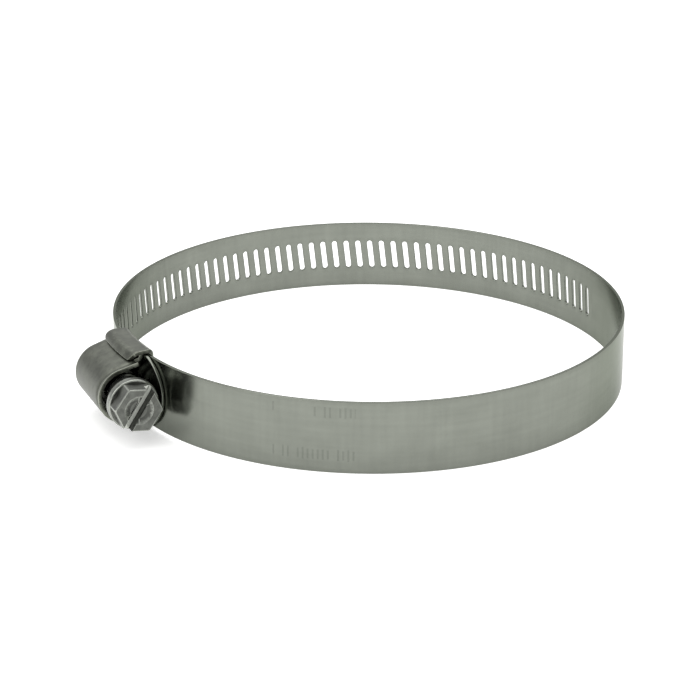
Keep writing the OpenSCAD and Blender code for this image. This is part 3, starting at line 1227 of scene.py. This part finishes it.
def saddle_section(sizes, cut_back):
    """Half of the saddle's middle line, as (radius, z): from its plate to its rolled lip."""
    thick = sizes.saddle_thickness
    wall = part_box("saddle")[1].z - thick / 2
    plate = PLAIN_RADIUS - sizes.band_thickness / 2 - SADDLE_GAP - thick / 2
    upright = math.pi / 2
    line = [(plate, 0.0), (plate, wall - CORNER)]
    bend = arc_points((plate + CORNER, wall - CORNER), CORNER, math.pi, upright, 8)
    lip = arc_points((FOLD_AT, wall - FOLD), FOLD, upright, upright - FOLD_TURN, 14)
    end = lip[-1] + LIP_END * np.array([math.cos(FOLD_TURN), -math.sin(FOLD_TURN)])
    whole = np.concatenate([np.array(line), bend, lip, [end]])
    return spread(whole, SADDLE_STEPS, cut_back)


def lip_cut(s, back, front):
    """How much of the lip's free edge is cut away at a distance towards the screw's head."""
    at_front = ramp((s - front) / FRONT_RUN + 1.0)
    at_back = ramp((back - s) / BACK_RUN + 1.0)
    return FRONT_CUT * at_front**2 + BACK_CUT * at_back**2


def build_saddle():
    """The saddle: a plate inside the band whose sides roll over the housing's feet."""
    sizes = bpy.context.scene.clamp_sizes
    low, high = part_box("saddle")
    start = math.pi - math.asin(high.y / SADDLE_OUTER)
    end = math.pi + math.asin(-low.y / SADDLE_OUTER)
    turns = np.linspace(start, end, 64)
    points = []
    for a in turns:
        half = saddle_section(sizes, lip_cut(-SADDLE_OUTER * math.sin(a), -high.y, -low.y))
        section = np.concatenate([half[::-1] * np.array([1, -1]), half[1:]])
        points += [(r * math.cos(a), r * math.sin(a), z) for r, z in section]
    count = len(section)
    faces = [
        (j * count + k, j * count + k + 1, (j + 1) * count + k + 1, (j + 1) * count + k)
        for j in range(len(turns) - 1)
        for k in range(count - 1)
    ]
    made = sheet_object("clamp_saddle", points, faces, sizes.saddle_thickness, SADDLE_ROUND)
    for v in made.data.vertices:
        if math.hypot(v.co.x, v.co.y) < SADDLE_INNER + 0.05 * MM:
            aside = max(abs(v.co.y) / WINDOW_Y, abs(abs(v.co.z) - WINDOW_AT) / WINDOW_Z)
            grow = 1 + WINDOW_DEPTH * ramp((1.25 - aside) / 0.3) / SADDLE_INNER
            v.co.x *= grow
            v.co.y *= grow
    return finish_pressed(made, "housing steel", "base", "saddle")


# ---------------------------------------------------------------- screw


def screw_profile():
    """(distance towards the head, radius) along the screw's shank and collar."""
    ends = [(-5.3, 1.9), (-5.3, 2.4), (-5.22, 2.65), (-5.05, 2.78), (-4.5, 2.8), (-4.42, 3.1)]
    worm = [(s, 3.1) for s in np.arange(-4.4, 8.9, 0.12)]
    neck = [(8.95, 3.1), (9.0, 3.0), (9.95, 3.0), (10.05, 3.7), (10.2, 3.92), (10.4, 4.0)]
    shank = [(11.5, 4.0), (12.8, 4.0), (13.2, 4.05), (13.42, 4.2), (13.5, 4.45), (13.5, 4.7)]
    collar = [(13.52, 4.86), (13.6, 4.95), (13.74, 5.0), (14.9, 5.0), (15.04, 4.97)]
    face = [(15.14, 4.89), (15.19, 4.76), (15.2, 4.6), (15.2, 3.0)]
    return [(s * MM, r * MM) for s, r in ends + worm + neck + shank + collar + face]


HEAD_BACK, HEAD_FRONT = 15.05 * MM, 18.4 * MM
SCREW_SIDES = 64
# the thread's height, its half width at the root, its slope, and where it starts and ends
THREAD_RISE, THREAD_HALF, THREAD_SLOPE = 0.9 * MM, 0.47 * MM, 0.25 * MM
THREAD_START, THREAD_END, THREAD_RUN = -4.0 * MM, 8.5 * MM, 0.7 * MM


def thread_rise(s, turn, pitch):
    """How far the thread stands out at a distance towards the head and an angle."""
    phase = (s / pitch - turn / (2 * math.pi) + 0.5) % 1.0 - 0.5
    rise = ramp((THREAD_HALF - abs(phase) * pitch) / THREAD_SLOPE)
    run_in = ramp((s - THREAD_START) / THREAD_RUN)
    run_out = ramp((THREAD_END - s) / THREAD_RUN)
    return THREAD_RISE * rise * run_in * run_out


def build_screw():
    """The worm screw with its collar and slotted hex head."""
    sizes = bpy.context.scene.clamp_sizes
    profile = screw_profile()
    pitch = PITCH * SLOTTED_RADIUS
    points, faces = [], []
    for s, r in profile:
        for a in np.linspace(0, 2 * math.pi, SCREW_SIDES, endpoint=False):
            grown = r + thread_rise(s, a, pitch)
            points.append((SCREW_X + grown * math.cos(a), -s, grown * math.sin(a)))
    top = (len(profile) - 1) * SCREW_SIDES
    for first in range(0, top, SCREW_SIDES):
        faces += loop_faces(first, first + SCREW_SIDES, SCREW_SIDES, False)
    tip = len(points)
    points += [(SCREW_X, -profile[0][0], 0.0), (SCREW_X, -profile[-1][0], 0.0)]
    for k in range(SCREW_SIDES):
        n = (k + 1) % SCREW_SIDES
        faces += [(k, n, tip), (top + n, top + k, tip + 1)]
    made = object_from("clamp_screw", points, faces)
    clean(made, merge=FINE_WELD)
    join(made, [hex_head(sizes)])
    finish_pressed(made, "screw steel", "screw", "screw")
    darken_slot(made, sizes)
    return [made]


def darken_slot(made, sizes):
    """Marks the screwdriver slot: painted shade on its sides, a painted highlight on its floor."""
    turn, half = sizes.driver_turn, sizes.driver_width / 2
    crease_shade, edge = (made.data.attributes[name].data for name in ("cavity", "edge"))
    margin = 0.02 * MM
    for v in made.data.vertices:
        deep = (HEAD_FRONT + v.co.y) / sizes.driver_depth
        side = v.co.z * math.cos(turn) - (v.co.x - SCREW_X) * math.sin(turn)
        if not 0.05 < deep < 1.1 or abs(side) > half + margin:
            continue
        # painted shade on the slot's sides, painted highlight on its floor
        floor = deep > 0.97 and abs(side) < half - margin
        crease_shade[v.index].value = 0.0 if floor else 0.8
        edge[v.index].value = SLOT_HIGHLIGHT_MARK if floor else 0.0


def prism(name, outline, low, high):
    """A closed prism along the screw, from one distance towards the head to another."""
    count = len(outline)
    points = [(SCREW_X + x, -s, z) for s in (low, high) for x, z in outline]
    faces = loop_faces(0, count, count, False)
    faces.append(tuple(range(count)))
    faces.append(tuple(range(2 * count - 1, count - 1, -1)))
    made = object_from(name, points, faces)
    return clean(made, merge=0.1 * FINE_WELD)


def cut(made, tool, operation):
    """Applies a boolean with another object, and removes that object."""
    modifier = made.modifiers.new("cut", "BOOLEAN")
    modifier.operation = operation
    modifier.object = tool
    modifier.solver = "EXACT"
    bake_modifiers(made)
    bpy.data.objects.remove(tool)
    return made


def cone_tool(low, high, low_radius, high_radius, steps=72):
    """A cut cone round the screw's axis."""
    turn = np.linspace(0, 2 * math.pi, steps, endpoint=False)
    points = []
    for s, r in ((low, low_radius), (high, high_radius)):
        points += [(SCREW_X + r * math.cos(a), -s, r * math.sin(a)) for a in turn]
    faces = loop_faces(0, steps, steps, False)
    faces.append(tuple(range(steps)))
    faces.append(tuple(range(2 * steps - 1, steps - 1, -1)))
    return clean(object_from("cone", points, faces), merge=0.1 * FINE_WELD)


def frame_faces(head, turn, offset):
    """Cuts the slot's floor in two along its length, and frames each face with a narrow border."""
    across = Vector((-math.sin(turn), 0.0, math.cos(turn)))
    work = bmesh.new()
    work.from_mesh(head.data)
    flat = math.radians(0.5)
    bmesh.ops.dissolve_limit(work, angle_limit=flat, verts=work.verts, edges=work.edges)
    for side in (-offset, offset):
        place = Vector((SCREW_X, 0.0, 0.0)) + across * side
        everything = work.verts[:] + work.edges[:] + work.faces[:]
        bmesh.ops.bisect_plane(work, geom=everything, plane_co=place, plane_no=across)
    for edge in work.edges:
        edge.smooth = edge.calc_face_angle(0.0) < math.radians(18)
    broad = [f for f in work.faces if f.calc_area() > 1.2 * MM * MM]
    bmesh.ops.inset_individual(work, faces=broad, thickness=0.12 * MM, use_even_offset=True)
    work.to_mesh(head.data)
    work.free()
    return head


# how far the head's corners are turned off at its back and its front, and its dished face
CHAMFER_BACK, CHAMFER_FRONT, HEX_ROUND = 5.4 * MM, 0.3 * MM, 0.15 * MM
DISH_SHARE, DISH_DEPTH = 0.34, 0.4 * MM


def hex_head(sizes):
    """The hexagon with turned-off corners, a dished face and a screwdriver slot."""
    front = HEAD_FRONT
    corner = sizes.head_flats / 2 / math.cos(math.pi / 6)
    corners = [sizes.head_turn + math.radians(60 * k) for k in range(6)]
    outline = [(corner * math.cos(a), corner * math.sin(a)) for a in corners]
    head = prism("hex_head", outline, HEAD_BACK, front)
    bevel = head.modifiers.new("round", "BEVEL")
    bevel.width = HEX_ROUND
    bevel.segments = 2
    bevel.limit_method = "ANGLE"
    bevel.angle_limit = math.radians(50)
    bake_modifiers(head)
    chamfer = (corner + CHAMFER_BACK, corner - CHAMFER_FRONT)
    cut(head, cone_tool(HEAD_BACK - 1 * MM, front, *chamfer), "INTERSECT")
    dish = DISH_SHARE * sizes.head_flats
    dish_low, dish_high = front - DISH_DEPTH, front + 0.1 * MM
    cut(head, cone_tool(dish_low, dish_high, dish - 1.1 * MM, dish + 0.27 * MM), "DIFFERENCE")
    long, wide = sizes.head_flats, sizes.driver_width / 2
    turn = sizes.driver_turn
    c, s = math.cos(turn), math.sin(turn)
    slot = [(-long, -wide), (long, -wide), (long, wide), (-long, wide)]
    slot = [(x * c - z * s, x * s + z * c) for x, z in slot]
    cut(head, prism("driver", slot, front - sizes.driver_depth, front + 1 * MM), "DIFFERENCE")
    clean(head, merge=FINE_WELD)
    return frame_faces(head, turn, 0.15 * wide)


# ---------------------------------------------------------------- stage


def area_light(name, place, size, power):
    """A soft square light that points at the ring."""
    data = bpy.data.lights.new(name, "AREA")
    data.shape = "RECTANGLE"
    data.size = data.size_y = size
    data.energy = power
    made = bpy.data.objects.new(name, data)
    bpy.context.scene.collection.objects.link(made)
    made.location = place
    made.rotation_euler = (-Vector(place)).to_track_quat("-Z", "Y").to_euler()
    return made


# small turns of the camera from the ring's centre, in radians
AIM_SIDE, AIM_UP, AIM_ROLL = -0.00769, -0.00469, 0.0062


def turned(first, second, by):
    """Two axes turned by an angle, the first towards the second."""
    c, s = math.cos(by), math.sin(by)
    return first * c + second * s, second * c - first * s


def build_camera(stage):
    """The camera, placed and turned in the part's frame."""
    data = bpy.data.cameras.new("camera")
    data.lens, data.sensor_width = stage.lens, 36.0
    data.clip_start, data.clip_end = 0.01, 20.0
    made = bpy.data.objects.new("camera", data)
    bpy.context.scene.collection.objects.link(made)
    lift = stage.camera_lift
    ahead = Vector((0, math.cos(lift), -math.sin(lift)))
    right = Vector((1, 0, 0))
    up = right.cross(ahead)
    place = -ahead * stage.camera_distance
    ahead, right = turned(ahead, right, AIM_SIDE)
    ahead, up = turned(ahead, up, AIM_UP)
    right, up = turned(right, up, AIM_ROLL)
    axes = Matrix((right, up, -ahead)).transposed().to_4x4()
    spin = Matrix.Rotation(-stage.camera_turn, 4, "Z")
    made.matrix_world = spin @ Matrix.Translation(place) @ axes
    bpy.context.scene.camera = made
    return made


def build_stage():
    """Floor, soft lights and camera."""
    scene = bpy.context.scene
    reach, level = 4.0, CAD_BOX[0].z - 0.01 * MM
    square = ((-reach, -reach), (reach, -reach), (reach, reach), (-reach, reach))
    corners = [(x, y, level) for x, y in square]
    floor = object_from("floor", corners, [(0, 1, 2, 3)])
    floor.data.materials.append(material("floor"))
    camera = build_camera(scene.clamp_stage)
    top = area_light("top light", place=(0.1, 0.35, 1.1), size=1.6, power=12.0)
    side = area_light("side light", place=(-1.1, -0.5, 0.8), size=0.9, power=5.0)
    world = scene.world or bpy.data.worlds.new("world")
    scene.world = world
    world.use_nodes = True
    shade = world.node_tree.nodes["Background"]
    shade.inputs["Color"].default_value = (1.0, 1.0, 1.0, 1.0)
    shade.inputs["Strength"].default_value = 0.86
    scene.view_settings.view_transform = "Standard"
    scene.view_settings.look = "None"
    return [floor, camera, top, side]


# ---------------------------------------------------------------- add-on


class CLAMP_OT_band(Operator):
    """Build the band's fixed, plain and slotted stretches"""

    bl_idname = "clamp.band"
    bl_label = "Build Band"

    def execute(self, context):
        build_band()
        return {"FINISHED"}


class CLAMP_OT_tail(Operator):
    """Build the band's free end with its round nose"""

    bl_idname = "clamp.tail"
    bl_label = "Build Free End"

    def execute(self, context):
        build_tail()
        return {"FINISHED"}


class CLAMP_OT_housing(Operator):
    """Build the pressed housing"""

    bl_idname = "clamp.housing"
    bl_label = "Build Housing"

    def execute(self, context):
        build_housing()
        return {"FINISHED"}


class CLAMP_OT_saddle(Operator):
    """Build the saddle that grips the housing's feet"""

    bl_idname = "clamp.saddle"
    bl_label = "Build Saddle"

    def execute(self, context):
        build_saddle()
        return {"FINISHED"}


class CLAMP_OT_screw(Operator):
    """Build the worm screw"""

    bl_idname = "clamp.screw"
    bl_label = "Build Screw"

    def execute(self, context):
        build_screw()
        return {"FINISHED"}


class CLAMP_OT_stage(Operator):
    """Build the floor, lights and camera"""

    bl_idname = "clamp.stage"
    bl_label = "Build Stage"

    def execute(self, context):
        build_stage()
        return {"FINISHED"}


OPERATORS = (
    CLAMP_OT_band,
    CLAMP_OT_tail,
    CLAMP_OT_housing,
    CLAMP_OT_saddle,
    CLAMP_OT_screw,
    CLAMP_OT_stage,
)


class CLAMP_PT_panel(Panel):
    """Settings and build buttons of the clamp"""

    bl_label = "Hose Clamp"
    bl_space_type = "VIEW_3D"
    bl_region_type = "UI"
    bl_category = "Hose Clamp"

    def draw(self, context):
        layout = self.layout
        for settings in (
            context.scene.clamp_sizes,
            context.scene.clamp_colours,
            context.scene.clamp_stage,
        ):
            box = layout.box()
            for name in settings.__annotations__:
                box.prop(settings, name)
        for operator in OPERATORS:
            layout.operator(operator.bl_idname)


CLASSES = (ClampSizes, ClampColours, ClampStage, *OPERATORS, CLAMP_PT_panel)


def register():
    """Registers the settings, operators and panel."""
    for item in CLASSES:
        bpy.utils.register_class(item)
    bpy.types.Scene.clamp_sizes = PointerProperty(type=ClampSizes)
    bpy.types.Scene.clamp_colours = PointerProperty(type=ClampColours)
    bpy.types.Scene.clamp_stage = PointerProperty(type=ClampStage)


def unregister():
    """Removes them again."""
    del bpy.types.Scene.clamp_stage
    del bpy.types.Scene.clamp_colours
    del bpy.types.Scene.clamp_sizes
    for item in reversed(CLASSES):
        bpy.utils.unregister_class(item)


def main():
    """Builds every piece."""
    register()
    for build in ("band", "tail", "housing", "saddle", "screw", "stage"):
        getattr(bpy.ops.clamp, build)()


if __name__ == "__main__":
    main()
